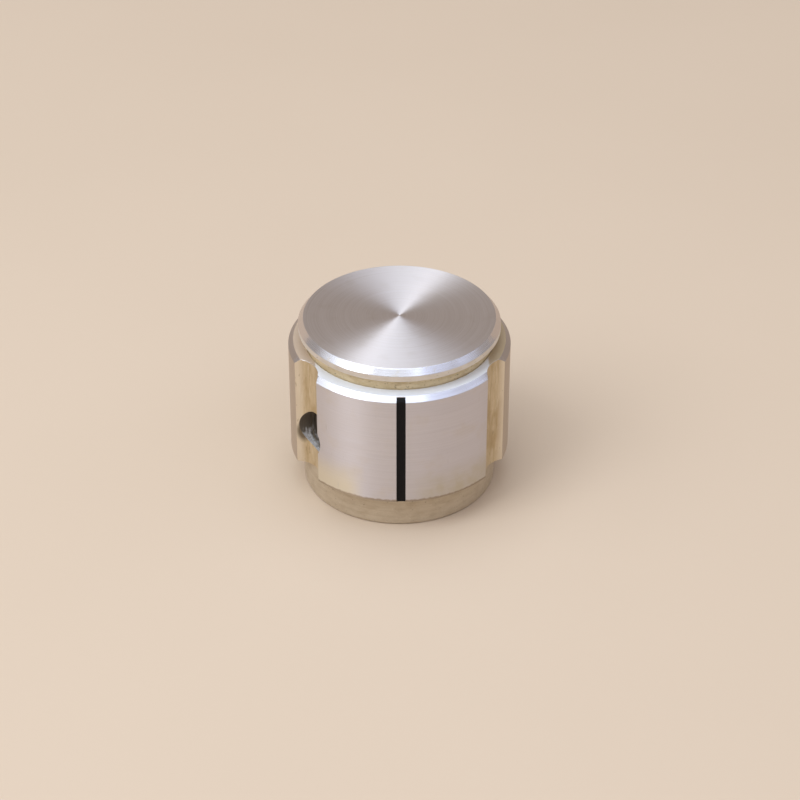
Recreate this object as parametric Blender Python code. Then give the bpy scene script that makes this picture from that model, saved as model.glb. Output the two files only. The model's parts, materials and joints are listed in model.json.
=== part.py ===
"""A turned aluminium control knob of 25 mm, with three finger flutes and a black pointer line.

Six pieces: a hub that takes the shaft, a fluted grip sleeve pressed over it, a spun top cap
pressed into it, the paint that fills the pointer's slot, an M5 set screw and its brass tip.
The knob stands on its base at z = 0, its axis is Z, and its pointer line faces -Y.
An angle round the knob is counted from the pointer line, towards +X.
"""

import math

import bmesh
import bpy
from mathutils import Matrix, Vector

MM = 0.001

# Driving dimensions, in millimetres
GRIP_RADIUS = 12.5
GRIP_BOTTOM = 4.3
GRIP_TOP = 18.15
GRIP_CHAMFER = 0.56
COLLAR_RADIUS = 11.0
NECK_RADIUS = 10.6
NECK_TOP = 19.55
CAP_RADIUS = 11.35
CAP_BOTTOM = 19.6
CAP_TOP = 20.95
CAP_CHAMFER_OUT = 0.56
CAP_CHAMFER_DOWN = 0.7
SHAFT_RADIUS = 3.175
SHAFT_BORE_TOP = 14.0
NUT_RECESS_RADIUS = 6.5
NUT_RECESS_TOP = 2.5
PRESS_GAP = 0.05

# Three finger flutes, milled by a round cutter. Each has its angle and how far the cutter's
# centre was from the knob's axis: the left flute is the deepest.
FLUTE_CUTTER_RADIUS = 3.0
FLUTES = ((-58.5, 14.15), (59.6, 14.55), (180.0, 14.35))

# The pointer: a slot with paint in it
POINTER_WIDTH = 1.0
POINTER_DEPTH = 0.5
PAINT_SINK = 0.07
PAINT_GAP = 0.02

# The set screw, in a tapped hole that crosses the left flute
SCREW_ANGLE = -57.0
SCREW_HEIGHT = 9.4
TAPPED_RADIUS = 2.42
SCREW_RADIUS = 2.36
SCREW_INNER_END = 4.4
SCREW_LENGTH = 4.6
SCREW_CHAMFER = 0.35
KEY_ACROSS_FLATS = 2.5
KEY_DEPTH = 2.2
TIP_POCKET_RADIUS = 1.5
TIP_POCKET_DEPTH = 1.3
TIP_STEM_RADIUS = 1.42
TIP_HEAD_RADIUS = 1.8
TIP_HEAD_LENGTH = 0.7
TIP_GAP = 0.05

ROUND_STEPS = 120
HOLE_STEPS = 48
SMALL_STEPS = 40
SMOOTH_ANGLE = math.radians(28)


def remove_everything():
    for thing in list(bpy.data.objects):
        bpy.data.objects.remove(thing, do_unlink=True)


def material(name, colour, metallic, roughness):
    made = bpy.data.materials.new(name)
    made.use_nodes = True
    shader = made.node_tree.nodes["Principled BSDF"]
    shader.inputs["Base Color"].default_value = (*colour, 1.0)
    shader.inputs["Metallic"].default_value = metallic
    shader.inputs["Roughness"].default_value = roughness
    return made


def add_object(name, mesh, finish=None):
    thing = bpy.data.objects.new(name, mesh)
    bpy.context.scene.collection.objects.link(thing)
    if finish:
        mesh.materials.append(finish)
    return thing


def finish_mesh(name, bm):
    """Close a bmesh into a mesh with outward faces and smooth round walls."""
    bmesh.ops.remove_doubles(bm, verts=bm.verts, dist=1e-7)
    bmesh.ops.recalc_face_normals(bm, faces=bm.faces)
    mesh = bpy.data.meshes.new(name)
    bm.to_mesh(mesh)
    bm.free()
    mesh.shade_smooth()
    mesh.set_sharp_from_angle(angle=SMOOTH_ANGLE)
    return mesh


def turned(name, profile, steps=ROUND_STEPS):
    """Turn a closed profile of (radius, height) points, in millimetres, about the Z axis."""
    bm = bmesh.new()
    corners = [bm.verts.new((radius * MM, 0.0, height * MM)) for radius, height in profile]
    edges = []
    for here, there in zip(corners, corners[1:] + corners[:1]):
        on_axis = here.co.x == 0.0 and there.co.x == 0.0
        if not on_axis:
            edges.append(bm.edges.new((here, there)))
    bmesh.ops.spin(
        bm,
        geom=corners + edges,
        cent=(0.0, 0.0, 0.0),
        axis=(0.0, 0.0, 1.0),
        angle=2 * math.pi,
        steps=steps,
        use_merge=True,
    )
    return finish_mesh(name, bm)


def around(angle, distance, height=0.0):
    """The point at this angle from the pointer line, in metres."""
    turn = math.radians(angle)
    return Vector((distance * math.sin(turn), -distance * math.cos(turn), height)) * MM


def facing_out(angle):
    """The rotation that points local +Z away from the knob's axis at this angle."""
    return (math.pi / 2, 0.0, math.radians(angle))


def cutter(name, mesh):
    thing = add_object(name, mesh)
    thing.hide_render = True
    thing.display_type = "WIRE"
    return thing


def rod_cutter(name, radius, low, high, steps):
    """A plain rod along its own Z axis, for cutting."""
    return cutter(name, turned(name, [(0, low), (radius, low), (radius, high), (0, high)], steps))


def cut(target, tool):
    boolean = target.modifiers.new(f"cut_{tool.name}", "BOOLEAN")
    boolean.operation = "DIFFERENCE"
    boolean.solver = "EXACT"
    boolean.object = tool


def flute_cutters():
    tools = []
    for number, (angle, distance) in enumerate(FLUTES, start=1):
        tool = rod_cutter(f"flute_cutter_{number}", FLUTE_CUTTER_RADIUS, GRIP_BOTTOM - 1,
                          GRIP_TOP + 1, SMALL_STEPS)
        tool.location = around(angle, distance)
        tools.append(tool)
    return tools


def tapped_hole_cutter():
    """The radial hole for the set screw, from inside the shaft bore to outside the grip."""
    tool = rod_cutter("tapped_hole_cutter", TAPPED_RADIUS, SHAFT_RADIUS - 1.5,
                      GRIP_RADIUS + 1, HOLE_STEPS)
    tool.location = (0.0, 0.0, SCREW_HEIGHT * MM)
    tool.rotation_euler = facing_out(SCREW_ANGLE)
    return tool


def pointer_slot_cutter():
    bm = bmesh.new()
    depth = POINTER_DEPTH + 1
    size = (POINTER_WIDTH, depth, GRIP_TOP - GRIP_BOTTOM + 2)
    centre = (0.0, -(GRIP_RADIUS - POINTER_DEPTH + depth / 2), (GRIP_TOP + GRIP_BOTTOM) / 2)
    place = Matrix.Translation(Vector(centre) * MM) @ Matrix.Diagonal((*(s * MM for s in size), 1))
    bmesh.ops.create_cube(bm, size=1.0, matrix=place)
    return cutter("pointer_slot_cutter", finish_mesh("pointer_slot_cutter", bm))


def make_hub(finish):
    """Collar below, neck above, with the shaft bore and the recess over a panel nut."""
    rim = 0.3
    spigot_radius, spigot_bottom = cap_spigot()
    profile = [
        (0, SHAFT_BORE_TOP),
        (SHAFT_RADIUS, SHAFT_BORE_TOP),
        (SHAFT_RADIUS, NUT_RECESS_TOP),
        (NUT_RECESS_RADIUS, NUT_RECESS_TOP),
        (NUT_RECESS_RADIUS, 0),
        (COLLAR_RADIUS - rim, 0),
        (COLLAR_RADIUS, rim),
        (COLLAR_RADIUS, GRIP_BOTTOM - PRESS_GAP),
        (NECK_RADIUS, GRIP_BOTTOM - PRESS_GAP),
        (NECK_RADIUS, NECK_TOP),
        (spigot_radius + PRESS_GAP, NECK_TOP),
        (spigot_radius + PRESS_GAP, spigot_bottom - PRESS_GAP),
        (0, spigot_bottom - PRESS_GAP),
    ]
    return add_object("hub", turned("hub", profile), finish)


def make_grip_sleeve(finish):
    inside = NECK_RADIUS + PRESS_GAP
    profile = [
        (inside, GRIP_BOTTOM),
        (GRIP_RADIUS, GRIP_BOTTOM),
        (GRIP_RADIUS, GRIP_TOP - GRIP_CHAMFER),
        (GRIP_RADIUS - GRIP_CHAMFER, GRIP_TOP),
        (inside, GRIP_TOP),
    ]
    return add_object("grip_sleeve", turned("grip_sleeve", profile), finish)


def cap_spigot():
    """The radius and the lower end of the cap's spigot."""
    return 4.0, 16.9


def make_top_cap(finish):
    spigot_radius, spigot_bottom = cap_spigot()
    lead_in = 0.3
    profile = [
        (0, spigot_bottom),
        (spigot_radius - lead_in, spigot_bottom),
        (spigot_radius, spigot_bottom + lead_in),
        (spigot_radius, CAP_BOTTOM),
        (CAP_RADIUS, CAP_BOTTOM),
        (CAP_RADIUS, CAP_TOP - CAP_CHAMFER_DOWN),
        (CAP_RADIUS - CAP_CHAMFER_OUT, CAP_TOP),
        (0, CAP_TOP),
    ]
    return add_object("top_cap", turned("top_cap", profile), finish)


def make_pointer_fill(finish):
    """Paint in the slot: a curved face a little below the grip's, cut back along its chamfer."""
    radius = GRIP_RADIUS - PAINT_SINK
    half = POINTER_WIDTH / 2 - PAINT_GAP
    back = GRIP_RADIUS - POINTER_DEPTH + PAINT_GAP
    reach = math.asin(half / radius)
    arc_steps = 6
    outline = []
    for step in range(arc_steps + 1):
        turn = reach * (2 * step / arc_steps - 1)
        outline.append((radius * math.sin(turn), -radius * math.cos(turn)))
    outline += [(half, -back), (-half, -back)]
    bm = bmesh.new()
    floor = [bm.verts.new((x * MM, y * MM, (GRIP_BOTTOM + PAINT_GAP) * MM)) for x, y in outline]
    roof = []
    for x, y in outline:
        out_from_chamfer = math.hypot(x, y) - (GRIP_RADIUS - GRIP_CHAMFER)
        height = GRIP_TOP - out_from_chamfer - PAINT_SINK
        roof.append(bm.verts.new((x * MM, y * MM, height * MM)))
    bm.faces.new(floor)
    bm.faces.new(reversed(roof))
    count = len(outline)
    for here in range(count):
        there = (here + 1) % count
        bm.faces.new((floor[here], roof[here], roof[there], floor[there]))
    return add_object("pointer_fill", finish_mesh("pointer_fill", bm), finish)


def make_screw_axis():
    """An empty on the tapped hole's axis, local +Z pointing out of the hole."""
    axis = bpy.data.objects.new("screw_axis", None)
    bpy.context.scene.collection.objects.link(axis)
    axis.location = (0.0, 0.0, SCREW_HEIGHT * MM)
    axis.rotation_euler = facing_out(SCREW_ANGLE)
    return axis


def make_set_screw(finish, axis):
    """A headless screw with a hexagon socket outside and a pocket for its tip inside."""
    profile = [
        (0, TIP_POCKET_DEPTH),
        (TIP_POCKET_RADIUS, TIP_POCKET_DEPTH),
        (TIP_POCKET_RADIUS, 0),
        (SCREW_RADIUS - SCREW_CHAMFER, 0),
        (SCREW_RADIUS, SCREW_CHAMFER),
        (SCREW_RADIUS, SCREW_LENGTH - SCREW_CHAMFER),
        (SCREW_RADIUS - SCREW_CHAMFER, SCREW_LENGTH),
        (0, SCREW_LENGTH),
    ]
    screw = add_object("set_screw", turned("set_screw", profile, SMALL_STEPS), finish)
    corner_radius = KEY_ACROSS_FLATS / math.sqrt(3)
    key = rod_cutter("key_cutter", corner_radius, SCREW_LENGTH - KEY_DEPTH, SCREW_LENGTH + 1, 6)
    cut(screw, key)
    for thing in (screw, key):
        thing.parent = axis
        thing.location = (0.0, 0.0, SCREW_INNER_END * MM)
    return screw


def make_screw_tip(finish, axis):
    """A brass plug: its stem turns in the screw's pocket and its head meets the shaft."""
    profile = [
        (0, -TIP_GAP - TIP_HEAD_LENGTH),
        (TIP_HEAD_RADIUS, -TIP_GAP - TIP_HEAD_LENGTH),
        (TIP_HEAD_RADIUS, -TIP_GAP),
        (TIP_STEM_RADIUS, -TIP_GAP),
        (TIP_STEM_RADIUS, TIP_POCKET_DEPTH - TIP_GAP),
        (0, TIP_POCKET_DEPTH - TIP_GAP),
    ]
    tip = add_object("screw_tip", turned("screw_tip", profile, SMALL_STEPS), finish)
    tip.parent = axis
    tip.location = (0.0, 0.0, SCREW_INNER_END * MM)
    return tip


def main():
    remove_everything()
    brushed = material("brushed_aluminium", (0.60, 0.57, 0.55), 1.0, 0.32)
    spun = material("spun_aluminium", (0.66, 0.64, 0.64), 1.0, 0.26)
    dull = material("dull_aluminium", (0.45, 0.40, 0.33), 1.0, 0.48)
    paint = material("black_paint", (0.012, 0.012, 0.013), 0.0, 0.45)
    steel = material("black_steel", (0.10, 0.10, 0.11), 1.0, 0.42)
    brass = material("brass", (0.72, 0.53, 0.24), 1.0, 0.35)

    hub = make_hub(dull)
    sleeve = make_grip_sleeve(brushed)
    make_top_cap(spun)
    make_pointer_fill(paint)

    for tool in flute_cutters():
        cut(sleeve, tool)
    cut(sleeve, pointer_slot_cutter())
    tapped_hole = tapped_hole_cutter()
    cut(sleeve, tapped_hole)
    cut(hub, tapped_hole)

    axis = make_screw_axis()
    make_set_screw(steel, axis)
    make_screw_tip(brass, axis)


main()
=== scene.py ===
"""Looks for the turned aluminium control knob: finer pieces, finishes, light and camera.

Lengths are written in millimetres, and MM turns them into metres. An angle round the knob is
counted from the pointer line, which faces -Y, towards +X.
"""

import json
import math
import random

import bmesh
import bpy
from mathutils import Matrix, Vector


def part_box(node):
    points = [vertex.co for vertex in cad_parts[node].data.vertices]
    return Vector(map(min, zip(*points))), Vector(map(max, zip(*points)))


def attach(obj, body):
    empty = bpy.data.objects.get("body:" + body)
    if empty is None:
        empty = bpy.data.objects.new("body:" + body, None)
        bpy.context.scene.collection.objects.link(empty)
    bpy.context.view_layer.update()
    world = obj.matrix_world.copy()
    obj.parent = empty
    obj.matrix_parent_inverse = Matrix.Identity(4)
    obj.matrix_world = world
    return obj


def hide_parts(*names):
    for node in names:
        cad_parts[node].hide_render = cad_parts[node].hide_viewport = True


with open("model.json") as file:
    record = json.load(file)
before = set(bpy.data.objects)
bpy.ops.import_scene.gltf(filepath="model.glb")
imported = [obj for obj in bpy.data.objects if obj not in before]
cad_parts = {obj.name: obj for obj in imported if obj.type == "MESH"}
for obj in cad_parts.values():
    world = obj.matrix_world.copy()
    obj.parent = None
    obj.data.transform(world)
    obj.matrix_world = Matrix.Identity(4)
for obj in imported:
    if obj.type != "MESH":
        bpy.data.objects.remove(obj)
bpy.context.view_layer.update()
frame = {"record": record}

MM = 0.001


def box_mm(node):
    low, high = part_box(node)
    return low / MM, high / MM


# Sizes read from the frame
sleeve_low, sleeve_high = box_mm("grip_sleeve")
cap_low, cap_high = box_mm("top_cap")
hub_high = box_mm("hub")[1]
GRIP_RADIUS = sleeve_high.x
GRIP_BOTTOM = sleeve_low.z
GRIP_TOP = sleeve_high.z
COLLAR_RADIUS = hub_high.x
NECK_TOP = hub_high.z
CAP_RADIUS = cap_high.x
CAP_TOP = cap_high.z
SPIGOT_BOTTOM = cap_low.z

# The other driving dimensions of the CAD
GRIP_CHAMFER = 0.56
NECK_RADIUS = 10.6
CAP_BOTTOM = 19.6
CAP_CHAMFER_OUT = 0.56
CAP_CHAMFER_DOWN = 0.7
SPIGOT_RADIUS = 4.0
SHAFT_RADIUS = 3.175
SHAFT_BORE_TOP = 14.0
NUT_RECESS_RADIUS = 6.5
NUT_RECESS_TOP = 2.5
PRESS_GAP = 0.05
FLUTE_CUTTER_RADIUS = 3.0
# Each flute's angle, and how far its cutter's centre was from the knob's axis
FLUTES = ((-58.5, 14.15), (59.6, 14.55), (180.0, 14.35))
POINTER_WIDTH = 1.0
POINTER_DEPTH = 0.5
PAINT_SINK = 0.07
PAINT_GAP = 0.02
SCREW_INNER_END = 4.4
SCREW_LENGTH = 4.6
SCREW_RADIUS = 2.36
KEY_ACROSS_FLATS = 2.5
KEY_DEPTH = 2.2
TIP_POCKET_RADIUS = 1.5
TIP_POCKET_DEPTH = 1.3
TIP_STEM_RADIUS = 1.42
TIP_HEAD_RADIUS = 1.8
TIP_HEAD_LENGTH = 0.7
TIP_GAP = 0.05

# Details that only this script has. EDGE and CAP_EDGE are the fillets of edges and of the disc's
# rim. SUPPORT is how far from an edge an extra point lies, which keeps the stretch beyond it flat.
EDGE = 0.05
CAP_EDGE = 0.16
SUPPORT = 0.04
SMOOTH_ANGLE = math.radians(35)
BORE_POINT = 0.9
THREAD_PITCH = 0.8
THREAD_DEPTH = 0.4
THREAD_FLAT_SHARE = 0.15
THREAD_FLANK_SHARE = 0.7
HOLE_THREAD_RADIUS = 2.5
HOLE_MOUTH_RADIUS = 2.44
HOLE_THREAD_END = 9.7
HOLE_THREAD_FADE = 0.35
SOCKET_BEVEL_DEPTH = 0.15
SOCKET_BEVEL_WIDTH = 0.12
SOCKET_POINT = 0.35
SCREW_BEVEL = 0.35
SLOT_EDGE_ANGLE = 0.12
SLOT_EDGE_DROP = 0.03
PAINT_HOLLOW = 0.05
PAINT_EDGE_RISE = 0.03
PAINT_UNEVENNESS = 0.006

# How many columns of faces go round each piece
GRIP_COLUMNS = 240
HUB_COLUMNS = 240
CAP_COLUMNS = 320
HOLE_COLUMNS = 72
SCREW_COLUMNS = 96
TIP_COLUMNS = 64

# Limits that sort faces into zones. A normal's part along an axis is 1 where it points along it.
HOLE_WALL_FACING = -0.45
SMOOTH_WALL_LEAN = 0.3
THREAD_LEAN = 0.93
ZONE_MARGIN = 0.02
FACES_DOWN = -0.5
FACES_UP = 0.9
SLOPES_UP = 0.35
DISC_FACES_UP = 0.95
CAP_SLOPES_UP = 0.3


# ---- Mesh tools ----------------------------------------------------------------------------


def add_object(name, mesh, body):
    piece = bpy.data.objects.new(name, mesh)
    bpy.context.scene.collection.objects.link(piece)
    if body:
        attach(piece, body)
    return piece


def skin(name, rings, torus=False):
    """Join rings of points, in millimetres, into one closed surface.

    A torus joins its last ring to its first. On any other surface an end ring whose points
    coincide becomes a single point, and one whose points don't is filled flat.
    """
    bm = bmesh.new()
    loops = [[bm.verts.new(Vector(point) * MM) for point in ring] for ring in rings]
    pairs = list(zip(loops, loops[1:]))
    if torus:
        pairs.append((loops[-1], loops[0]))
    else:
        for end in (loops[0], loops[-1]):
            if (end[0].co - end[len(end) // 2].co).length > 1e-6:
                bm.faces.new(end)
    for here, there in pairs:
        for this in range(len(here)):
            after = (this + 1) % len(here)
            bm.faces.new((here[this], here[after], there[after], there[this]))
    bmesh.ops.remove_doubles(bm, verts=bm.verts, dist=1e-6)
    bmesh.ops.recalc_face_normals(bm, faces=bm.faces)
    mesh = bpy.data.meshes.new(name)
    bm.to_mesh(mesh)
    bm.free()
    mesh.shade_smooth()
    mesh.set_sharp_from_angle(angle=SMOOTH_ANGLE)
    return mesh


def revolve(name, section_at, angles, torus=False):
    """Skin the sections round the Z axis. section_at(angle) is a list of (radius, height)."""
    columns = [(math.radians(angle), section_at(angle)) for angle in angles]
    rings = []
    for row in range(len(columns[0][1])):
        ring = []
        for turn, section in columns:
            radius, height = section[row]
            ring.append((radius * math.sin(turn), -radius * math.cos(turn), height))
        rings.append(ring)
    return skin(name, rings, torus)


def even_angles(count):
    return [360.0 * number / count for number in range(count)]


def arc(centre, radius, start, end, steps=4):
    """The points of a fillet, from one direction to another, in degrees."""
    points = []
    for step in range(steps + 1):
        turn = math.radians(start + (end - start) * step / steps)
        points.append((centre[0] + radius * math.cos(turn), centre[1] + radius * math.sin(turn)))
    return points


def stretch(start, end, steps):
    """Points between two points: one close to each end, for flat shading, and even ones."""
    length = max(math.dist(start, end), 1e-6)
    close = min(SUPPORT / length, 0.3 / steps)
    shares = [close] + [step / steps for step in range(1, steps)] + [1 - close]
    return [tuple(a + (b - a) * share for a, b in zip(start, end)) for share in shares]


def chain(*runs, steps=2):
    """Join fillets and corner points by straight stretches."""
    points = list(runs[0])
    for run in runs[1:]:
        points += stretch(points[-1], run[0], steps)
        points += run
    return points


def smooth_min(first, second, blend):
    overlap = max(blend - abs(first - second), 0.0) / blend
    return min(first, second) - overlap * overlap * blend / 4


def bake_cut(piece, tool):
    """Cut the tool out of the piece for good, and remove the tool."""
    cut = piece.modifiers.new("cut", "BOOLEAN")
    cut.operation = "DIFFERENCE"
    cut.solver = "EXACT"
    cut.object = tool
    depsgraph = bpy.context.evaluated_depsgraph_get()
    mesh = bpy.data.meshes.new_from_object(piece.evaluated_get(depsgraph))
    piece.modifiers.remove(cut)
    piece.data = mesh
    mesh.shade_smooth()
    mesh.set_sharp_from_angle(angle=SMOOTH_ANGLE)
    bpy.data.objects.remove(tool, do_unlink=True)


def dress(piece, finishes, choose):
    """Give each face the finish that choose(centre, normal) names, in millimetres."""
    names = list(finishes)
    piece.data.materials.clear()
    for name in names:
        piece.data.materials.append(finishes[name])
    for face in piece.data.polygons:
        face.material_index = names.index(choose(face.center / MM, face.normal))


# ---- The screw's axis ------------------------------------------------------------------------


def screw_place():
    """The matrix that carries local +Z onto the tapped hole's axis, pointing out of it."""
    joints = {joint["name"]: joint for joint in frame["record"]["behaviour"]["joints"]}
    turn = joints["screw_turn"]
    inward = Vector(turn["axis"]).normalized()
    out = -inward
    up = Vector((0, 0, 1))
    side = up.cross(out).normalized()
    turned = Matrix((side, up, out)).transposed().to_4x4()
    return Matrix.Translation(Vector(turn["pos_m"])) @ turned


SCREW_PLACE = screw_place()
SCREW_AXIS_POINT = SCREW_PLACE.to_translation() / MM
SCREW_OUT = SCREW_PLACE.to_3x3() @ Vector((0, 0, 1))


def in_tapped_hole(centre, normal, lean):
    """Whether a face is part of the tapped hole's wall, which faces the hole's axis.

    lean is how far its normal may turn along that axis: a thread's flanks turn furthest.
    """
    offset = centre - SCREW_AXIS_POINT
    along = offset.dot(SCREW_OUT)
    from_axis = offset - SCREW_OUT * along
    faces_axis = from_axis.normalized().dot(normal) < HOLE_WALL_FACING
    upright = abs(normal.dot(SCREW_OUT)) < lean
    close = from_axis.length < HOLE_THREAD_RADIUS + ZONE_MARGIN
    return faces_axis and upright and close and along > 0


def thread_share(turn, along):
    """0 on the crest of a right-hand thread and 1 in its root."""
    phase = (along / THREAD_PITCH - turn / 360.0) % 1.0
    return min(max((abs(phase - 0.5) * 2 - THREAD_FLAT_SHARE) / THREAD_FLANK_SHARE, 0.0), 1.0)


# ---- Pieces ----------------------------------------------------------------------------------


def flute_radius(angle):
    """How far from the axis the grip's outside is, in this direction."""
    radius = GRIP_RADIUS
    for flute, distance in FLUTES:
        away = math.radians((angle - flute + 180.0) % 360.0 - 180.0)
        side = distance * math.sin(away)
        if abs(side) < FLUTE_CUTTER_RADIUS and math.cos(away) > 0:
            reach = math.sqrt(FLUTE_CUTTER_RADIUS ** 2 - side ** 2)
            wall = distance * math.cos(away) - reach
            radius = smooth_min(radius, wall, EDGE)
    return radius


SLOT_HALF_ANGLE = math.degrees(math.asin(POINTER_WIDTH / 2 / GRIP_RADIUS))


def grip_outside(angle):
    """The same once the pointer's slot is cut, with the slot's edges slightly rounded."""
    away = (angle + 180.0) % 360.0 - 180.0
    if abs(away) < SLOT_HALF_ANGLE:
        return (GRIP_RADIUS - POINTER_DEPTH) / math.cos(math.radians(away))
    rounding = max(1 - (abs(away) - SLOT_HALF_ANGLE) / SLOT_EDGE_ANGLE, 0.0)
    return flute_radius(angle) - SLOT_EDGE_DROP * rounding ** 2


def grip_section(angle):
    """The sleeve's closed section: up its outside, over the chamfer and down the bore."""
    inside = NECK_RADIUS + PRESS_GAP
    wall = grip_outside(angle) - EDGE
    top = GRIP_TOP - EDGE
    chamfer_line = GRIP_RADIUS - GRIP_CHAMFER + GRIP_TOP - EDGE * math.sqrt(2)
    foot = (wall, min(chamfer_line - wall, top))
    head = (min(chamfer_line - top, wall), top)
    outside = chain(
        arc((wall, GRIP_BOTTOM + EDGE), EDGE, -90, 0),
        arc(foot, EDGE, 0, 45, 3),
        steps=22,
    )
    rest = chain(
        outside[-1:],
        arc(head, EDGE, 45, 90, 3),
        arc((inside + EDGE, top), EDGE, 90, 180, 3),
        arc((inside + EDGE, GRIP_BOTTOM + EDGE), EDGE, 180, 270, 3),
        steps=3,
    )
    return outside + rest[1:] + stretch(rest[-1], outside[0], 2)


def flute_half_angle(distance):
    """Half the angle that a flute takes up at the grip's outside."""
    sides = GRIP_RADIUS ** 2 + distance ** 2 - FLUTE_CUTTER_RADIUS ** 2
    return math.degrees(math.acos(sides / (2 * GRIP_RADIUS * distance)))


def grip_angles():
    """Columns every 1.5 degrees, and closer ones at the flutes and at the pointer's slot."""
    near_edge = (-0.9, -0.45, -0.25, -0.14, -0.07, 0.0, 0.07, 0.14, 0.25, 0.45, 0.9)
    close = [part * 0.75 for part in range(-12, 13)]
    angles = []
    for flute, distance in FLUTES:
        half = flute_half_angle(distance)
        angles += [flute + step for step in close]
        angles += [flute + side * (half + step) for side in (-1, 1) for step in near_edge]
    slot_steps = (-1.6, -0.8, -0.2, -0.005, 0.005, 0.04, 0.08, 0.12, 0.25, 0.6)
    angles += [side * (SLOT_HALF_ANGLE + step) for side in (-1, 1) for step in slot_steps]
    angles.append(0.0)
    for angle in even_angles(GRIP_COLUMNS):
        from_flute = min(abs((angle - flute + 180) % 360 - 180) - flute_half_angle(distance)
                         for flute, distance in FLUTES)
        from_slot = abs((angle + 180) % 360 - 180)
        if from_flute > 1.2 and from_slot > SLOT_HALF_ANGLE + 1.0:
            angles.append(angle)
    return sorted(angle % 360.0 for angle in angles)


def hole_cutter():
    """The tapped hole, as a solid: threaded inside, plain at its mouth in the flute."""
    start = SHAFT_RADIUS - 1.2
    end = GRIP_RADIUS + 1.0
    rows = 118

    def section(turn):
        points = [(0.0, start)]
        for row in range(rows + 1):
            along = start + (end - start) * row / rows
            thread = HOLE_THREAD_RADIUS - THREAD_DEPTH * thread_share(turn, along)
            fade = min(max((along - HOLE_THREAD_END) / HOLE_THREAD_FADE, 0.0), 1.0)
            points.append((thread + (HOLE_MOUTH_RADIUS - thread) * fade, along))
        return points + [(0.0, end)]

    mesh = revolve("hole_cutter", section, even_angles(HOLE_COLUMNS))
    mesh.transform(SCREW_PLACE)
    return add_object("hole_cutter", mesh, None)


def zone_of_grip(centre, normal):
    """Which finish a face of the grip gets."""
    radius = math.hypot(centre.x, centre.y)
    angle = math.degrees(math.atan2(centre.x, -centre.y))
    if in_tapped_hole(centre, normal, SMOOTH_WALL_LEAN):
        return "bored"
    in_bore = radius < NECK_RADIUS + 0.5 and normal.z < 0.5
    if normal.z < FACES_DOWN or in_bore:
        return "underside"
    if normal.z > FACES_UP:
        return "shoulder"
    if normal.z > SLOPES_UP:
        return "chamfer"
    beside_slot = abs((angle + 180) % 360 - 180) > SLOT_HALF_ANGLE + 0.5
    if radius < GRIP_RADIUS - ZONE_MARGIN and beside_slot:
        return "flute"
    return "land"


def make_grip(finishes):
    mesh = revolve("fluted_grip", grip_section, grip_angles(), torus=True)
    grip = add_object("fluted_grip", mesh, "knob")
    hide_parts("grip_sleeve")
    bake_cut(grip, hole_cutter())
    dress(grip, finishes, zone_of_grip)


def hub_section(angle):
    """From the blind end of the shaft bore, round the collar and neck, to the cap's seat."""
    rim = 0.3
    lead_in = 0.25
    corner = 0.1
    foot = 0.15
    seat = SPIGOT_RADIUS + PRESS_GAP
    seat_floor = SPIGOT_BOTTOM - PRESS_GAP
    shelf = GRIP_BOTTOM - PRESS_GAP
    return chain(
        [(0.0, SHAFT_BORE_TOP + BORE_POINT)],
        [(SHAFT_RADIUS, SHAFT_BORE_TOP)],
        arc((SHAFT_RADIUS + lead_in, NUT_RECESS_TOP + lead_in), lead_in, 180, 270, 3),
        [(NUT_RECESS_RADIUS - corner, NUT_RECESS_TOP), (NUT_RECESS_RADIUS, NUT_RECESS_TOP - corner)],
        arc((NUT_RECESS_RADIUS + foot, foot), foot, 180, 270, 3),
        arc((COLLAR_RADIUS - rim, rim), rim, -90, 0, 6),
        arc((COLLAR_RADIUS - EDGE, shelf - EDGE), EDGE, 0, 90, 3),
        [(NECK_RADIUS, shelf)],
        arc((NECK_RADIUS - EDGE, NECK_TOP - EDGE), EDGE, 0, 90, 3),
        [(seat, NECK_TOP)],
        [(seat, seat_floor)],
        [(0.0, seat_floor)],
        steps=4,
    )


def zone_of_hub(centre, normal):
    """Which finish a face of the hub gets."""
    radius = math.hypot(centre.x, centre.y)
    if in_tapped_hole(centre, normal, THREAD_LEAN):
        return "bored"
    if centre.z > GRIP_BOTTOM and radius > SPIGOT_RADIUS + 1.0:
        return "neck"
    if centre.z < GRIP_BOTTOM and radius > COLLAR_RADIUS - 0.4 and normal.z > -FACES_UP:
        return "collar"
    return "underside"


def make_hub(finishes):
    mesh = revolve("turned_hub", hub_section, even_angles(HUB_COLUMNS))
    hub = add_object("turned_hub", mesh, "knob")
    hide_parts("hub")
    bake_cut(hub, hole_cutter())
    dress(hub, finishes, zone_of_hub)


def cap_section(angle):
    """From the middle of the disc, over the rim's chamfer, and down to the spigot's end."""
    slope = math.degrees(math.atan2(CAP_CHAMFER_OUT, CAP_CHAMFER_DOWN))
    shoulder = CAP_TOP - CAP_CHAMFER_DOWN
    spread = CAP_EDGE * math.tan(math.radians(90 - slope) / 2)
    foot_drop = EDGE * math.tan(math.radians(slope) / 2)
    centre_dimple = [(0.0, CAP_TOP - 0.05), (0.09, CAP_TOP - 0.02), (0.16, CAP_TOP)]
    end_edge = 0.3
    return chain(
        centre_dimple,
        arc((CAP_RADIUS - CAP_CHAMFER_OUT - spread, CAP_TOP - CAP_EDGE), CAP_EDGE, 90, slope, 5),
        arc((CAP_RADIUS - EDGE, shoulder - foot_drop), EDGE, slope, 0, 3),
        arc((CAP_RADIUS - EDGE, CAP_BOTTOM + EDGE), EDGE, 0, -90, 3),
        [(SPIGOT_RADIUS, CAP_BOTTOM)],
        arc((SPIGOT_RADIUS - end_edge, SPIGOT_BOTTOM + end_edge), end_edge, 0, -90, 3),
        [(0.0, SPIGOT_BOTTOM)],
        steps=6,
    )


def zone_of_cap(centre, normal):
    """Which finish a face of the cap gets."""
    if normal.z > DISC_FACES_UP:
        return "disc"
    if normal.z > CAP_SLOPES_UP:
        return "chamfer"
    return "cap_wall"


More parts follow.
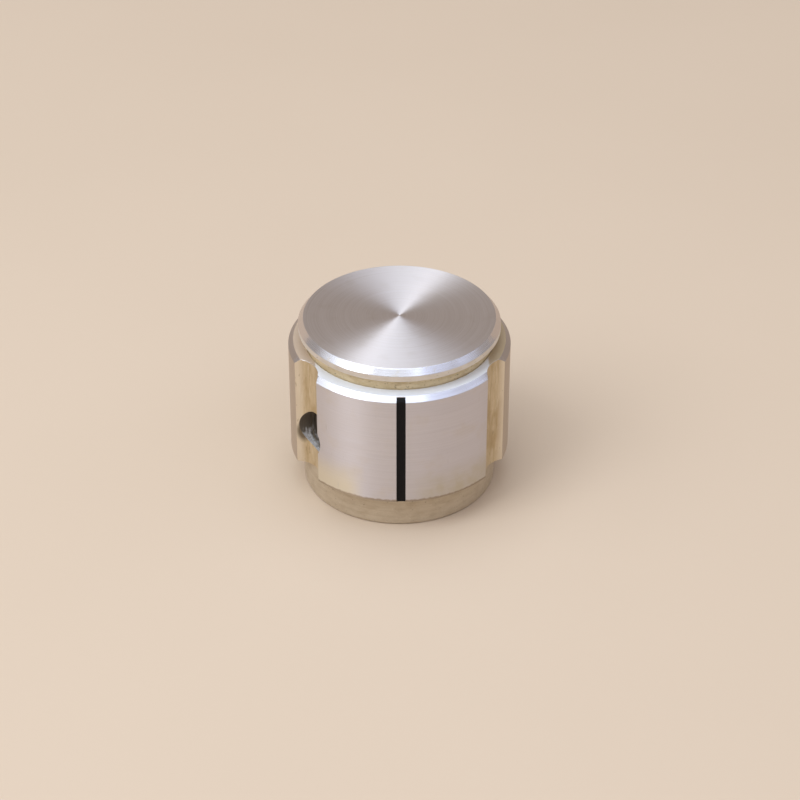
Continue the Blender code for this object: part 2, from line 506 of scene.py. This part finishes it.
def make_cap(finishes):
    mesh = revolve("spun_cap", cap_section, even_angles(CAP_COLUMNS))
    cap = add_object("spun_cap", mesh, "knob")
    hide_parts("top_cap")
    dress(cap, finishes, zone_of_cap)


def make_pointer(finish):
    """The paint in the slot: its face sinks a little in the middle and is slightly uneven."""
    rng = random.Random(7)
    half = POINTER_WIDTH / 2 - PAINT_GAP
    back = GRIP_RADIUS - POINTER_DEPTH + PAINT_GAP
    face = GRIP_RADIUS - PAINT_SINK
    across = 12
    levels = 90
    rings = []
    for level in range(levels + 1):
        share = level / levels
        wobble = [rng.uniform(-PAINT_UNEVENNESS, PAINT_UNEVENNESS) for _ in range(across + 1)]
        ring = []
        for step in range(across + 1):
            side = 2 * step / across - 1
            sink = PAINT_HOLLOW * (1 - side * side) - PAINT_EDGE_RISE * abs(side) ** 6
            ring.append((side * half, face - sink + wobble[step]))
        outline = ring + [(half, back), (0.0, back), (-half, back)]
        points = []
        for x, radius in outline:
            roof = GRIP_TOP - max(radius - (GRIP_RADIUS - GRIP_CHAMFER), 0.0) - PAINT_SINK
            floor = GRIP_BOTTOM + PAINT_GAP
            y = -math.sqrt(radius * radius - x * x)
            points.append((x, y, floor + (roof - floor) * share))
        rings.append(points)
    paint = add_object("pointer_paint", skin("pointer_paint", rings), "knob")
    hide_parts("pointer_fill")
    paint.data.materials.append(finish)


def screw_section(turn):
    """The set screw: socket, outer face, thread, cup face and the pocket for the tip."""
    inner = SCREW_INNER_END
    outer = SCREW_INNER_END + SCREW_LENGTH
    socket = KEY_ACROSS_FLATS / 2 / math.cos(math.radians((turn + 30.0) % 60.0 - 30.0))
    socket_edge = (socket, outer - SOCKET_BEVEL_DEPTH)
    points = [(0.0, outer - KEY_DEPTH - SOCKET_POINT), (socket, outer - KEY_DEPTH)]
    points += stretch(points[-1], socket_edge, 3)
    points += [socket_edge, (socket + SOCKET_BEVEL_WIDTH, outer)]
    points += stretch(points[-1], (SCREW_RADIUS - SCREW_BEVEL, outer), 2)
    rows = 56
    for row in range(rows + 1):
        along = outer - (outer - inner) * row / rows
        crest = SCREW_RADIUS - THREAD_DEPTH * thread_share(turn, along)
        from_end = min(along - inner, outer - along)
        points.append((min(crest, SCREW_RADIUS - SCREW_BEVEL + from_end), along))
    points += stretch(points[-1], (TIP_POCKET_RADIUS, inner), 2)
    points += [(TIP_POCKET_RADIUS, inner), (TIP_POCKET_RADIUS, inner + TIP_POCKET_DEPTH)]
    return points + [(0.0, inner + TIP_POCKET_DEPTH)]


def make_screw(finish):
    mesh = revolve("socket_set_screw", screw_section, even_angles(SCREW_COLUMNS))
    mesh.transform(SCREW_PLACE)
    screw = add_object("socket_set_screw", mesh, "set_screw")
    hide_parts("set_screw")
    mesh.materials.append(finish)


def tip_section(turn):
    """The brass tip: its head, which presses on the shaft, and the stem in the screw's pocket."""
    head_top = SCREW_INNER_END - TIP_GAP
    head_face = head_top - TIP_HEAD_LENGTH
    stem_end = SCREW_INNER_END + TIP_POCKET_DEPTH - TIP_GAP
    face_edge = 0.15
    return chain(
        [(0.0, head_face)],
        arc((TIP_HEAD_RADIUS - face_edge, head_face + face_edge), face_edge, -90, 0),
        arc((TIP_HEAD_RADIUS - EDGE, head_top - EDGE), EDGE, 0, 90, 3),
        [(TIP_STEM_RADIUS, head_top)],
        arc((TIP_STEM_RADIUS - EDGE, stem_end - EDGE), EDGE, 0, 90, 3),
        [(0.0, stem_end)],
    )


def make_tip(finish):
    mesh = revolve("brass_tip", tip_section, even_angles(TIP_COLUMNS))
    mesh.transform(SCREW_PLACE)
    tip = add_object("brass_tip", mesh, "screw_tip")
    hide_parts("screw_tip")
    mesh.materials.append(finish)


# ---- Finishes --------------------------------------------------------------------------------


class Finish:
    """One material, with short calls for the nodes that the finishes share."""

    def __init__(self, name):
        self.material = bpy.data.materials.new(name)
        self.material.use_nodes = True
        self.tree = self.material.node_tree
        self.shader = self.tree.nodes["Principled BSDF"]
        coordinates = self.add("ShaderNodeTexCoord").outputs["Object"]
        self.point = self.vector("MULTIPLY", coordinates, (1 / MM, 1 / MM, 1 / MM))
        split = self.add("ShaderNodeSeparateXYZ")
        self.join(self.point, split.inputs[0])
        self.x, self.y, self.height = split.outputs
        self.radius = self.math(
            "SQRT",
            self.math("ADD", self.math("MULTIPLY", self.x, self.x),
                      self.math("MULTIPLY", self.y, self.y)),
        )
        self.metal = 1.0

    def add(self, kind, **settings):
        node = self.tree.nodes.new(kind)
        for key, value in settings.items():
            setattr(node, key, value)
        return node

    def join(self, value, socket):
        """Feed a socket from another node's output, or set it to a constant."""
        if isinstance(value, bpy.types.NodeSocket):
            self.tree.links.new(value, socket)
        elif socket.type == "RGBA":
            socket.default_value = (*value, 1.0)
        else:
            socket.default_value = value

    def set(self, **inputs):
        """Set the shader's inputs; an underscore in a name stands for a space."""
        for name, value in inputs.items():
            self.join(value, self.shader.inputs[name.replace("_", " ")])

    def math(self, operation, *values):
        node = self.add("ShaderNodeMath", operation=operation)
        for value, socket in zip(values, node.inputs):
            self.join(value, socket)
        return node.outputs[0]

    def vector(self, operation, *values):
        node = self.add("ShaderNodeVectorMath", operation=operation)
        for value, socket in zip(values, node.inputs):
            self.join(value, socket)
        return node.outputs[0]

    def ramp(self, value, low, high, to_low=0.0, to_high=1.0):
        """A smooth step from to_low to to_high while the value goes from low to high."""
        node = self.add("ShaderNodeMapRange", interpolation_type="SMOOTHSTEP")
        for setting, socket in zip((value, low, high, to_low, to_high), node.inputs):
            self.join(setting, socket)
        return node.outputs[0]

    def mix(self, share, first, second):
        node = self.add("ShaderNodeMix", data_type="RGBA")
        self.join(share, node.inputs[0])
        self.join(first, node.inputs[6])
        self.join(second, node.inputs[7])
        return node.outputs[2]

    def noise(self, scale, detail=2.0, stretch_by=(1.0, 1.0, 1.0), shift=0.0):
        """Noise over the piece, drawn out along an axis whose part of stretch_by is small."""
        place = self.vector("MULTIPLY", self.point, stretch_by)
        place = self.vector("ADD", place, (shift, shift, shift))
        node = self.add("ShaderNodeTexNoise")
        for name, value in (("Vector", place), ("Scale", scale), ("Detail", detail)):
            self.join(value, node.inputs[name])
        return node.outputs["Fac"]

    def grooves(self, across, per_mm, along=0.12, detail=2.0):
        """Noise drawn out round the axis; across is the radius on a disc, or the height."""
        place = self.add("ShaderNodeCombineXYZ")
        self.join(self.math("MULTIPLY", self.x, along), place.inputs[0])
        self.join(self.math("MULTIPLY", self.y, along), place.inputs[1])
        self.join(self.math("MULTIPLY", across, per_mm), place.inputs[2])
        node = self.add("ShaderNodeTexNoise")
        self.join(place.outputs[0], node.inputs["Vector"])
        self.join(1.0, node.inputs["Scale"])
        self.join(detail, node.inputs["Detail"])
        return node.outputs["Fac"]

    def bump(self, height, depth_mm, strength=1.0, before=None):
        node = self.add("ShaderNodeBump")
        self.join(strength, node.inputs["Strength"])
        self.join(depth_mm * MM, node.inputs["Distance"])
        self.join(height, node.inputs["Height"])
        if before:
            self.join(before, node.inputs["Normal"])
        return node.outputs["Normal"]

    def facing(self, azimuth):
        """1 on the side of the knob at this angle from the pointer line, and -1 opposite."""
        turn = math.radians(azimuth)
        across = self.math("MULTIPLY", self.x, math.sin(turn))
        along = self.math("MULTIPLY", self.y, -math.cos(turn))
        return self.math("DIVIDE", self.math("ADD", across, along), self.radius)

    def near(self, place, inner, outer, stretch_by):
        """1 close to a place, in millimetres, fading to 0 at the outer distance."""
        offset = self.vector("SUBTRACT", self.point, place)
        node = self.add("ShaderNodeVectorMath", operation="LENGTH")
        self.join(self.vector("MULTIPLY", offset, stretch_by), node.inputs[0])
        return self.ramp(node.outputs["Value"], inner, outer, 1.0, 0.0)

    def groove_tangent(self):
        """The direction in the surface that lies across grooves round the Z axis."""
        around = self.vector("CROSS_PRODUCT", (0.0, 0.0, 1.0), self.point)
        normal = self.add("ShaderNodeNewGeometry").outputs["Normal"]
        across = self.vector("CROSS_PRODUCT", normal, around)
        return self.vector("NORMALIZE", across)


# Colours: yellow-grey and brown dirt, a darker golden for the shoulder along the neck, a pale stain
# that is partly painted floor reflection, and the painted shade inside the tapped hole; and the
# place below the hole's mouth where the flute is darker
NECK_BAND_GOLD = (0.66, 0.545, 0.33)
YELLOW_GREY_DIRT = (0.53, 0.465, 0.33)
PALE_STAIN_AND_FLOOR_REFLECTION = (0.70, 0.62, 0.46)
BROWN_DIRT = (0.34, 0.26, 0.18)
PAINTED_HOLE_SHADE = (0.105, 0.082, 0.055)
DARK_PATCH_PLACE = (-10.9, -4.65, 8.5)


def turned_finish(name, flat, colour, shade, roughness, anisotropy, depth=0.002, streaks=0.5,
                  broad_share=0.4):
    """Aluminium with the fine grooves of a lathe, as a Finish that isn't closed yet."""
    look = Finish(name)
    across = look.radius if flat else look.height
    fine = look.grooves(across, 11.0)
    broad = look.grooves(across, 2.6, along=0.05, detail=3.0)
    both = look.math("ADD", look.math("MULTIPLY", fine, 1 - broad_share),
                     look.math("MULTIPLY", broad, broad_share))
    look.tone = look.mix(look.ramp(both, 0.5 - streaks / 2, 0.5 + streaks / 2), shade, colour)
    look.spread = look.ramp(both, 0.3, 0.7, roughness * 1.1, roughness * 0.92)
    look.relief = look.bump(both, depth)
    look.set(Anisotropic=anisotropy, Tangent=look.groove_tangent())
    return look


def close_finish(look):
    look.set(Base_Color=look.tone, Roughness=look.spread, Normal=look.relief, Metallic=look.metal)
    return look.material


def lay_dirt_and_painted_light(look, mask, colour, roughness, cover=0.0):
    """Lay a colour on a finish where the mask is 1: dirt in some places, and painted shade and
    painted light in others. A cover of 1 hides the metal's shine.
    """
    look.tone = look.mix(mask, look.tone, colour)
    rise = look.math("MULTIPLY", mask, roughness)
    look.spread = look.math("MAXIMUM", look.spread, rise)
    if cover:
        bare = look.math("SUBTRACT", 1.0, look.math("MULTIPLY", mask, cover))
        look.metal = look.math("MULTIPLY", look.metal, bare)


def paint_side_shade_and_reflection(look, colour, start=0.50, end=0.30, amount=0.9, cover=0.25):
    """Paint shade and the floor's warm reflection onto the knob's sides and back, where this finish
    turns away from the pointer line.
    """
    ragged = look.math("MULTIPLY", look.math("SUBTRACT", look.noise(0.9, 4.0, shift=5.1), 0.5), 0.3)
    front = look.math("ADD", look.facing(0.0), ragged)
    lay_dirt_and_painted_light(look, look.ramp(front, end, start, amount, 0.0), colour, 0.5, cover)


def disc_finish():
    """The spun top disc, with faint smudges."""
    look = turned_finish("spun_disc", True, (0.70, 0.68, 0.70), (0.64, 0.61, 0.61), 0.43, 0.88)
    smudge = look.ramp(look.noise(0.35, 3.0), 0.52, 0.75, 0.0, 0.25)
    lay_dirt_and_painted_light(look, smudge, (0.54, 0.50, 0.47), 0.44)
    return close_finish(look)


def chamfer_finish(name, side_shade_colour):
    """A bright cut chamfer, worn in places, with painted shade and floor reflection at the knob's
    sides.
    """
    look = turned_finish(name, False, (0.66, 0.68, 0.75), (0.57, 0.59, 0.65), 0.28, 0.6,
                         depth=0.0012)
    worn = look.ramp(look.noise(1.3, 4.0), 0.60, 0.74, 0.0, 0.5)
    lay_dirt_and_painted_light(look, worn, (0.60, 0.57, 0.53), 0.4)
    # Painted shade and floor reflection on the chamfer's sides
    paint_side_shade_and_reflection(look, side_shade_colour)
    return close_finish(look)


def shoulder_finish():
    """The grip's top face: a painted highlight makes it pale and bluish in front, with painted shade
    and floor reflection at both sides and a darker golden band along the neck.
    """
    # Painted highlight: the pale bluish base, with little metal, stands in for the lights' bright
    # reflection
    look = turned_finish("faced_shoulder", True, (0.86, 0.92, 1.0), (0.80, 0.85, 0.93), 0.42, 0.5)
    look.metal = 0.3
    # Painted shade and floor reflection on the shoulder's sides
    paint_side_shade_and_reflection(look, (0.47, 0.385, 0.32))
    left_end = look.ramp(look.x, -9.5, -9.25, 0.9, 0.0)
    lay_dirt_and_painted_light(look, left_end, (0.53, 0.43, 0.33), 0.5, 0.3)
    right_end = look.ramp(look.x, 9.65, 9.95, 0.0, 0.9)
    lay_dirt_and_painted_light(look, right_end, (0.44, 0.35, 0.22), 0.5, 0.4)
    # Darker golden in a narrow band along the neck
    from_neck = look.math("SUBTRACT", look.radius, NECK_RADIUS)
    ragged = look.math("ADD", from_neck, look.math("MULTIPLY", look.noise(2.2, 4.0), 0.3))
    along_neck = look.ramp(ragged, 0.16, 0.36, 0.85, 0.0)
    lay_dirt_and_painted_light(look, along_neck, NECK_BAND_GOLD, 0.6, 0.8)
    return close_finish(look)


def land_finish():
    """The grip's outside: brushed in front, with stains low down, partly painted floor reflection
    low on the left, and painted shade and floor reflection at the sides and back.
    """
    look = turned_finish("brushed_grip", False, (0.69, 0.665, 0.70), (0.65, 0.62, 0.645), 0.41,
                         0.90, streaks=0.7, broad_share=0.12)
    blotch = look.ramp(look.noise(0.35, 4.0, shift=3.7), 0.5, 0.8, 0.0, 0.35)
    lay_dirt_and_painted_light(look, blotch, (0.60, 0.52, 0.42), 0.5, 0.3)
    low = look.ramp(look.height, GRIP_BOTTOM + 0.8, GRIP_BOTTOM + 5.0, 1.0, 0.0)
    patch = look.ramp(look.noise(0.8, 6.0, shift=8.3), 0.3, 0.75, 0.5, 0.85)
    right = look.ramp(look.facing(38.0), 0.78, 0.97)
    low_right = look.math("MULTIPLY", look.math("MULTIPLY", low, right), patch)
    lay_dirt_and_painted_light(look, low_right, YELLOW_GREY_DIRT, 0.52, 0.4)
    # A pale stain low on the left that is partly a painted reflection of the floor
    left = look.ramp(look.facing(-41.0), 0.92, 0.985, 0.0, 0.85)
    lay_dirt_and_painted_light(look, look.math("MULTIPLY", low, left), PALE_STAIN_AND_FLOOR_REFLECTION, 0.5, 0.4)
    edge = look.math("SUBTRACT", look.height, look.math("MULTIPLY", look.noise(2.0, 3.0), 0.35))
    lower_edge = look.ramp(edge, GRIP_BOTTOM, GRIP_BOTTOM + 0.2, 0.9, 0.0)
    lay_dirt_and_painted_light(look, lower_edge, BROWN_DIRT, 0.6, 0.4)
    lay_dirt_and_painted_light(look, scratches(look), (0.50, 0.47, 0.44), 0.5)
    # Painted shade and floor reflection on the land's sides and back
    paint_side_shade_and_reflection(look, (0.50, 0.405, 0.305), 0.58, 0.50, 0.87, 0.4)
    return close_finish(look)


def scratches(look):
    """A mask of a few thin upright scratches."""
    thin = look.noise(1.0, 2.0, stretch_by=(6.0, 6.0, 0.30), shift=2.9)
    few = look.ramp(look.noise(0.5, 2.0, shift=6.1), 0.50, 0.62)
    return look.math("MULTIPLY", look.ramp(thin, 0.70, 0.76, 0.0, 0.7), few)


def flute_finish():
    """The milled flutes: golden with the floor's reflection painted in, drawn out upright, with a
    painted highlight along the back of the two side ones.
    """
    look = Finish("milled_flute")
    fine = look.noise(1.0, 3.0, stretch_by=(9.0, 9.0, 0.5))
    mottle = look.noise(0.7, 4.0, stretch_by=(1.4, 1.4, 0.5))
    # The golden tone is the floor's reflection painted into the colour
    tone = look.mix(look.ramp(fine, 0.3, 0.7), (0.525, 0.42, 0.265), (0.625, 0.515, 0.35))
    look.tone = look.mix(look.ramp(mottle, 0.42, 0.7, 0.0, 0.6), tone, (0.42, 0.30, 0.15))
    look.spread = look.ramp(mottle, 0.3, 0.7, 0.42, 0.58)
    look.relief = look.bump(fine, 0.003)
    look.metal = 0.6
    # Painted highlight: the back wall of each side flute, which faces the camera and the light, is
    # paler
    back = look.ramp(look.facing(0.0), 0.36, 0.42, 0.8, 0.0)
    front = look.ramp(look.facing(0.0), 0.10, 0.25)
    lay_dirt_and_painted_light(look, look.math("MULTIPLY", back, front), (0.76, 0.67, 0.54), 0.5, 0.2)
    # Darker patch below the hole's mouth
    below_hole = look.near(DARK_PATCH_PLACE, 0.45, 1.05, (1.0, 1.0, 0.62))
    lay_dirt_and_painted_light(look, below_hole, (0.16, 0.12, 0.075), 0.6, 0.4)
    nick = look.ramp(look.noise(3.2, 3.0, stretch_by=(1.6, 1.6, 0.3)), 0.66, 0.74, 0.0, 0.6)
    lay_dirt_and_painted_light(look, nick, (0.26, 0.18, 0.09), 0.6, 0.5)
    streak = look.noise(2.2, 3.0, stretch_by=(3.0, 3.0, 0.2), shift=4.4)
    rub = look.ramp(streak, 0.60, 0.72, 0.0, 0.5)
    lay_dirt_and_painted_light(look, rub, (0.80, 0.74, 0.62), 0.45)
    return close_finish(look)


def dirty_finish(name, colour, dark, roughness, specks, metal=0.6, speck_share=0.8):
    """Dull, stained aluminium. A higher level of specks leaves fewer of them."""
    shade = tuple(0.65 * a + 0.35 * b for a, b in zip(colour, dark))
    look = turned_finish(name, False, colour, shade, roughness, 0.35)
    look.metal = metal
    mottle = look.ramp(look.noise(1.0, 6.0, stretch_by=(0.7, 0.7, 1.5)), 0.38, 0.72, 0.0, 0.6)
    lay_dirt_and_painted_light(look, mottle, dark, roughness + 0.1)
    pale = look.ramp(look.noise(4.5, 3.0, shift=1.7), 0.62, 0.74, 0.0, 0.3)
    lay_dirt_and_painted_light(look, pale, (0.82, 0.78, 0.70), roughness)
    speck = look.ramp(look.noise(4.0, 3.0), specks, specks + 0.1, 0.0, speck_share)
    lay_dirt_and_painted_light(look, speck, (0.20, 0.15, 0.09), 0.7, 0.5)
    pits = look.noise(7.0, 3.0)
    look.relief = look.bump(pits, 0.008, 0.7, look.relief)
    return close_finish(look)


def enamel_finish():
    """The matt black paint of the pointer line."""
    look = Finish("pointer_enamel")
    grain = look.noise(6.0, 4.0)
    look.tone = look.mix(look.ramp(grain, 0.4, 0.75), (0.003, 0.003, 0.004), (0.009, 0.008, 0.008))
    look.spread = look.ramp(grain, 0.3, 0.7, 0.5, 0.7)
    look.relief = look.bump(grain, 0.006)
    look.metal = 0.0
    look.set(Specular_IOR_Level=0.15)
    return close_finish(look)


def plain_metal(name, colour, dark, roughness):
    """Lightly mottled metal, for the screw and its tip."""
    look = Finish(name)
    grain = look.noise(3.0, 4.0)
    look.tone = look.mix(look.ramp(grain, 0.35, 0.7), colour, dark)
    look.spread = look.ramp(grain, 0.3, 0.7, roughness * 0.9, roughness * 1.15)
    look.relief = look.bump(grain, 0.004)
    return close_finish(look)


def bored_finish():
    """The wall of the tapped hole: drill marks round its axis, with painted shade over its upper
    side and deep end, so that only its lower lip is bright.
    """
    look = Finish("bored_wall")
    axis_part = look.add("ShaderNodeVectorMath", operation="DOT_PRODUCT")
    look.join(look.point, axis_part.inputs[0])
    look.join(tuple(SCREW_OUT), axis_part.inputs[1])
    along = axis_part.outputs["Value"]
    marks = look.grooves(along, 5.0, along=0.1)
    look.tone = look.mix(look.ramp(marks, 0.35, 0.65), (0.64, 0.64, 0.66), (0.98, 0.98, 1.0))
    look.spread = look.ramp(marks, 0.3, 0.7, 0.50, 0.40)
    look.relief = look.bump(marks, 0.02)
    look.metal = 0.6
    ragged = look.math("MULTIPLY", look.noise(1.0, 3.0, stretch_by=(3.0, 3.0, 0.6)), 2.4)
    middle = SCREW_AXIS_POINT.z
    ragged_height = look.math("ADD", look.height, ragged)
    # Painted shade: the hole's upper side and its deep end are darkened almost to black
    upper = look.ramp(ragged_height, middle - 0.4, middle + 0.5, 0.0, 0.94)
    ragged_along = look.math("SUBTRACT", along, ragged)
    deep = look.ramp(ragged_along, 8.9, 10.1, 0.94, 0.0)
    lay_dirt_and_painted_light(look, look.math("MAXIMUM", deep, upper), PAINTED_HOLE_SHADE, 0.6, 0.8)
    return close_finish(look)


def floor_finish():
    """The plain pale floor."""
    look = Finish("pale_floor")
    grain = look.noise(0.02, 3.0)
    look.tone = look.mix(grain, (0.59, 0.485, 0.375), (0.61, 0.505, 0.395))
    look.metal = 0.0
    look.spread = look.ramp(grain, 0.3, 0.7, 0.7, 0.8)
    look.relief = look.bump(look.noise(0.8, 3.0), 0.01)
    return close_finish(look)


# ---- Light, floor and camera -----------------------------------------------------------------


COOL_LIGHT = (0.88, 0.94, 1.0)
BLUE_LIGHT = (0.66, 0.76, 1.0)
ROOM_COLOUR = (0.475, 0.405, 0.355, 1.0)

# Each light's name, azimuth and elevation in degrees, width and height in metres, radiance, colour
LIGHTS = (
    ("left_light", -84, 38, 0.30, 0.24, 1.5, COOL_LIGHT),
    ("front_left_light", -55, 47, 0.26, 0.38, 4.8, (0.92, 0.95, 1.0)),
    ("front_light", 0, 56, 0.40, 0.28, 1.5, COOL_LIGHT),
    ("front_right_light", 42, 50, 0.38, 0.28, 1.2, BLUE_LIGHT),
    ("right_light", 84, 38, 0.30, 0.24, 0.9, BLUE_LIGHT),
    ("top_light", 238, 81, 0.72, 0.42, 1.95, (0.78, 0.88, 1.0)),
)
LIGHT_DISTANCE = 0.6

FLOOR_RADII = (0.0, 40.0, 200.0, 900.0)
FLOOR_COLUMNS = 96

CAMERA_LENS = 105.13
CAMERA_SENSOR = 36.0
CAMERA_TARGET = (0.06, 0.0, 9.508)
CAMERA_AZIMUTH = -0.8
CAMERA_ELEVATION = 34.325
CAMERA_DISTANCE = 267.222


def direction(azimuth, elevation):
    """The direction towards this azimuth, from -Y towards +X, and elevation, in degrees."""
    turn = math.radians(azimuth)
    rise = math.radians(elevation)
    return Vector((
        math.cos(rise) * math.sin(turn),
        -math.cos(rise) * math.cos(turn),
        math.sin(rise),
    ))


def softbox(name, azimuth, elevation, width, height, radiance, colour):
    """A soft rectangular light that faces the knob."""
    light = bpy.data.lights.new(name, "AREA")
    light.shape = "RECTANGLE"
    light.size = width
    light.size_y = height
    light.energy = radiance * math.pi * width * height
    light.color = colour
    lamp = bpy.data.objects.new(name, light)
    bpy.context.scene.collection.objects.link(lamp)
    towards = direction(azimuth, elevation)
    lamp.location = towards * LIGHT_DISTANCE + Vector((0, 0, CAP_TOP / 2 * MM))
    lamp.rotation_euler = towards.to_track_quat("Z", "Y").to_euler()


def make_lights():
    for light in LIGHTS:
        softbox(*light)
    world = bpy.data.worlds.new("room")
    world.use_nodes = True
    sky = world.node_tree.nodes["Background"]
    sky.inputs["Color"].default_value = ROOM_COLOUR
    sky.inputs["Strength"].default_value = 1.0
    bpy.context.scene.world = world


def make_floor():
    bm = bmesh.new()
    loops = []
    for radius in FLOOR_RADII:
        turns = [2 * math.pi * number / FLOOR_COLUMNS for number in range(FLOOR_COLUMNS)]
        ring = [(radius * math.sin(turn), -radius * math.cos(turn), 0.0) for turn in turns]
        loops.append([bm.verts.new(Vector(point) * MM) for point in ring])
    for here, there in zip(loops, loops[1:]):
        for this in range(FLOOR_COLUMNS):
            after = (this + 1) % FLOOR_COLUMNS
            bm.faces.new((here[this], there[this], there[after], here[after]))
    bmesh.ops.remove_doubles(bm, verts=bm.verts, dist=1e-6)
    mesh = bpy.data.meshes.new("floor")
    bm.to_mesh(mesh)
    bm.free()
    floor = bpy.data.objects.new("floor", mesh)
    bpy.context.scene.collection.objects.link(floor)
    mesh.materials.append(floor_finish())


def make_camera():
    camera = bpy.data.cameras.new("camera")
    camera.lens = CAMERA_LENS
    camera.sensor_width = CAMERA_SENSOR
    eye = bpy.data.objects.new("camera", camera)
    bpy.context.scene.collection.objects.link(eye)
    towards = direction(CAMERA_AZIMUTH, CAMERA_ELEVATION)
    eye.location = Vector(CAMERA_TARGET) * MM + towards * CAMERA_DISTANCE * MM
    eye.rotation_euler = towards.to_track_quat("Z", "Y").to_euler()
    bpy.context.scene.camera = eye


def main():
    bored = bored_finish()
    underside = dirty_finish("turned_underside", (0.55, 0.52, 0.48), (0.40, 0.36, 0.30), 0.4,
                             specks=0.7)
    make_cap({
        "disc": disc_finish(),
        # The colour after each chamfer's name is its painted side shade and floor reflection
        "chamfer": chamfer_finish("cap_chamfer", (0.69, 0.585, 0.50)),
        "cap_wall": dirty_finish("cap_wall", (0.74, 0.72, 0.70), (0.60, 0.56, 0.50), 0.36,
                                 specks=0.66, metal=0.8),
    })
    make_grip({
        "land": land_finish(),
        # The colour after the chamfer's name is its painted side shade and floor reflection
        "chamfer": chamfer_finish("grip_chamfer", (0.42, 0.35, 0.30)),
        "shoulder": shoulder_finish(),
        "flute": flute_finish(),
        "bored": bored,
        "underside": underside,
    })
    make_hub({
        "collar": dirty_finish("dull_collar", (0.60, 0.525, 0.415), (0.46, 0.38, 0.27), 0.52,
                               specks=0.64, speck_share=0.6),
        # The neck's bright golden colour, with little metal, is partly grime and partly a painted
        # floor reflection, bright where the cap shades it
        "neck": dirty_finish("neck_grime_and_painted_reflection", (0.72, 0.61, 0.40), (0.48, 0.365, 0.19), 0.5,
                             specks=0.60, metal=0.2),
        "bored": bored,
        "underside": underside,
    })
    make_pointer(enamel_finish())
    make_screw(plain_metal("black_oxide", (0.075, 0.075, 0.08), (0.035, 0.035, 0.038), 0.4))
    make_tip(plain_metal("turned_brass", (0.72, 0.53, 0.24), (0.52, 0.36, 0.14), 0.34))
    make_floor()
    make_lights()
    make_camera()
    bpy.context.scene.view_settings.view_transform = "Standard"


main()
